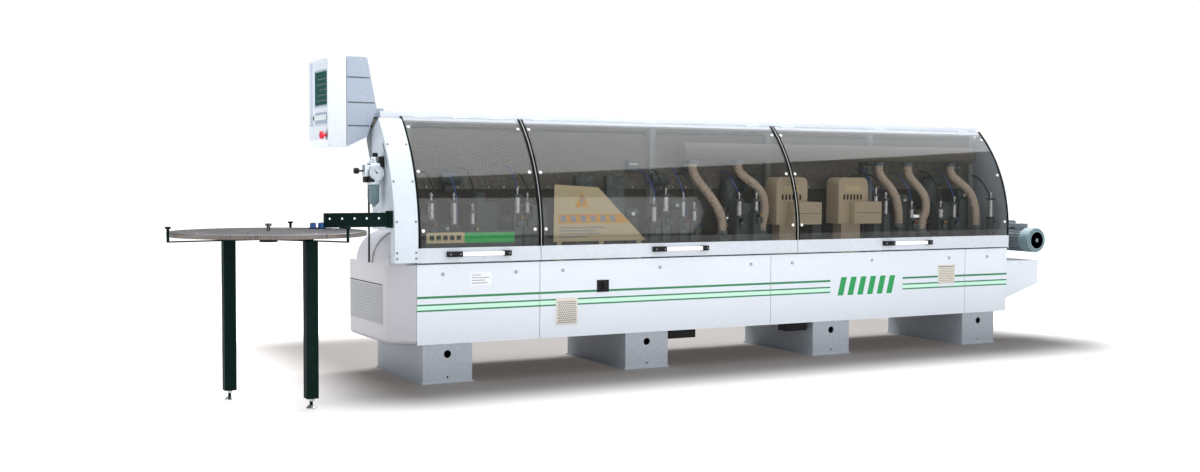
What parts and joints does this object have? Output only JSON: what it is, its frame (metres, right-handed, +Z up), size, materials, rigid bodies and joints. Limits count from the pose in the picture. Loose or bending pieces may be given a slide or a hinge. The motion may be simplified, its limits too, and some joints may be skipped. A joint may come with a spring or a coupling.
{
  "type": "edge banding machine",
  "caption": "Edge banding machine: box-foot cabinet, curved smoked hood in three lifting sections, round coil table, feed conveyor, swivelling control panel and end motor.",
  "frame": {"origin": "bottom centre of the overall box, on the floor", "axes": "+X along the panel feed, +Y from the hood side to the panel side, +Z up"},
  "size_m": [6.1912, 1.58, 1.82],
  "materials": {
    "foot_paint": "satin",
    "frame_paint": "satin",
    "bed_steel": "ground",
    "white_paint": "fine texture",
    "lock_steel": "bright",
    "grille_cream": "satin",
    "cover_grey": "moulded",
    "smoked_window": "smoked",
    "seal_black": "matt",
    "green_black": "satin",
    "steel": "satin",
    "motor_grey": "satin",
    "unit_dark": "satin",
    "beige_cover": "moulded",
    "sign_cream": "satin",
    "hose_beige": "ribbed",
    "duct_grey": "satin",
    "panel_plastic": "moulded",
    "screen": "gloss",
    "red_button": "gloss",
    "air_grey": "cast",
    "black_plastic": "moulded",
    "chain_dark": "oiled",
    "buff_cloth": "stitched cotton",
    "roller_rubber": "soft",
    "beam_paint": "satin"
  },
  "bodies": {
    "machine": {"skid_feet": "foot_paint", "base_frame": "frame_paint", "bed_plate": "bed_steel", "front_panels": "white_paint", "rear_panels": "white_paint", "panel_locks": "lock_steel", "vent_grilles": "grille_cream", "infeed_end_cover": "cover_grey", "infeed_nose_covers": "cover_grey", "infeed_arch": "white_paint", "hood_end_plates": "air_grey", "roof_beam": "white_paint", "hood_back_wall": "beam_paint", "uprights": "motor_grey", "conveyor_rail": "frame_paint", "conveyor_chain": "chain_dark", "gear_motor": "motor_grey", "motor_fan_cover": "motor_grey", "outfeed_box": "white_paint", "coil_table_frame": "green_black", "tape_guide": "green_black", "infeed_fence": "steel", "glue_pot": "unit_dark", "unit_stands": "unit_dark", "unit_motors": "unit_dark", "motor_covers": "beige_cover", "sign_plates": "sign_cream", "dust_manifold": "duct_grey", "dust_hoses": "hose_beige", "control_arm": "frame_paint", "air_unit": "air_grey", "electrical_boxes": "black_plastic", "support_guides": "frame_paint"},
    "hood_1": {"hood_window_1": "smoked_window", "hood_rail_1": "white_paint", "hood_seals_1": "seal_black"},
    "hood_2": {"hood_window_2": "smoked_window", "hood_rail_2": "white_paint", "hood_seals_2": "seal_black"},
    "hood_3": {"hood_window_3": "smoked_window", "hood_rail_3": "white_paint", "hood_seals_3": "seal_black"},
    "control_panel": {"control_housing": "panel_plastic", "control_screen": "screen"},
    "support_extension": {"support_extension": "motor_grey"},
    "estop_button": {"estop_button": "red_button"},
    "coil_disc": {"coil_disc": "steel"},
    "drive_sprocket": {"drive_sprocket": "steel"},
    "idler_sprocket": {"idler_sprocket": "steel"},
    "pressure_beam": {"pressure_beam": "beam_paint"},
    "glue_roller": {"glue_roller": "steel"},
    "press_roller": {"press_roller": "roller_rubber"},
    "saw_carriage_1": {"saw_carriage_1": "unit_dark"},
    "saw_carriage_2": {"saw_carriage_2": "unit_dark"},
    "saw_blade_1": {"saw_blade_1": "steel"},
    "saw_blade_2": {"saw_blade_2": "steel"},
    "trim_cutters": {"trim_cutters": "steel"},
    "buffing_wheels": {"buffing_wheels": "buff_cloth"},
    "main_switch_knob": {"main_switch_knob": "black_plastic"},
    "regulator_knob": {"regulator_knob": "black_plastic"}
  },
  "joints": [
    {"name": "hood_1_lift", "type": "hinge", "parent": "machine", "child": "hood_1", "pos_m": [-1.33588, 0.221, 1.488], "axis": [-1, 0, 0], "range_deg": [0, 70]},
    {"name": "hood_2_lift", "type": "hinge", "parent": "machine", "child": "hood_2", "pos_m": [-0.05038, 0.221, 1.488], "axis": [-1, 0, 0], "range_deg": [0, 70]},
    {"name": "hood_3_lift", "type": "hinge", "parent": "machine", "child": "hood_3", "pos_m": [1.78062, 0.221, 1.488], "axis": [-1, 0, 0], "range_deg": [0, 70]},
    {"name": "control_panel_swivel", "type": "hinge", "parent": "machine", "child": "control_panel", "pos_m": [-1.79638, 0.358, 1.51], "axis": [0, 0, -1], "range_deg": [0, 90]},
    {"name": "estop_press", "type": "slide", "parent": "control_panel", "child": "estop_button", "axis": [1, 0, 0], "range_m": [0, 0.006], "stiffness_N_per_m": 800},
    {"name": "coil_disc_spin", "type": "hinge", "parent": "machine", "child": "coil_disc", "pos_m": [-2.57838, -0.301, 0.874], "axis": [0, 0, 1], "continuous": true},
    {"name": "drive_sprocket_spin", "type": "hinge", "parent": "machine", "child": "drive_sprocket", "pos_m": [3.00762, 0.399, 0.789], "axis": [0, 1, 0], "continuous": true},
    {"name": "idler_sprocket_spin", "type": "hinge", "parent": "machine", "child": "idler_sprocket", "pos_m": [-1.56138, 0.399, 0.789], "axis": [0, 1, 0], "continuous": true},
    {"name": "pressure_beam_lift", "type": "slide", "parent": "machine", "child": "pressure_beam", "axis": [0, 0, 1], "range_m": [-0.01, 0.04]},
    {"name": "glue_roller_spin", "type": "hinge", "parent": "machine", "child": "glue_roller", "pos_m": [-1.15138, 0.274, 0.89], "axis": [0, 0, 1], "continuous": true},
    {"name": "press_roller_spin", "type": "hinge", "parent": "machine", "child": "press_roller", "pos_m": [-0.89138, 0.248, 0.885], "axis": [0, 0, 1], "continuous": true},
    {"name": "saw_1_feed", "type": "slide", "parent": "machine", "child": "saw_carriage_1", "axis": [0, 0, -1], "range_m": [0, 0.075]},
    {"name": "saw_1_spin", "type": "hinge", "parent": "saw_carriage_1", "child": "saw_blade_1", "pos_m": [-0.52188, 0.258, 0.985], "axis": [1, 0, 0], "continuous": true},
    {"name": "saw_2_feed", "type": "slide", "parent": "machine", "child": "saw_carriage_2", "axis": [0, 0, -1], "range_m": [0, 0.105]},
    {"name": "saw_2_spin", "type": "hinge", "parent": "saw_carriage_2", "child": "saw_blade_2", "pos_m": [-0.31188, 0.258, 1.015], "axis": [1, 0, 0], "continuous": true},
    {"name": "trim_cutters_spin", "type": "hinge", "parent": "machine", "child": "trim_cutters", "pos_m": [0.53362, 0.258, 0.88], "axis": [0, 0, 1], "continuous": true},
    {"name": "buffing_wheels_spin", "type": "hinge", "parent": "machine", "child": "buffing_wheels", "pos_m": [2.21862, 0.233, 0.88], "axis": [0, 0, 1], "continuous": true},
    {"name": "support_extension_pull", "type": "slide", "parent": "machine", "child": "support_extension", "axis": [0, 1, 0], "range_m": [0, 0.18]},
    {"name": "main_switch_turn", "type": "hinge", "parent": "machine", "child": "main_switch_knob", "pos_m": [-0.54938, -0.088, 0.5105], "axis": [0, 1, 0], "range_deg": [0, 90]},
    {"name": "regulator_knob_turn", "type": "hinge", "parent": "machine", "child": "regulator_knob", "pos_m": [-1.99138, 0.078, 1.182], "axis": [1, 0, 0], "range_deg": [-540, 540]}
  ],
  "couplings": [
    {"joint": "idler_sprocket_spin", "follows": "drive_sprocket_spin", "ratio": 1}
  ]
}
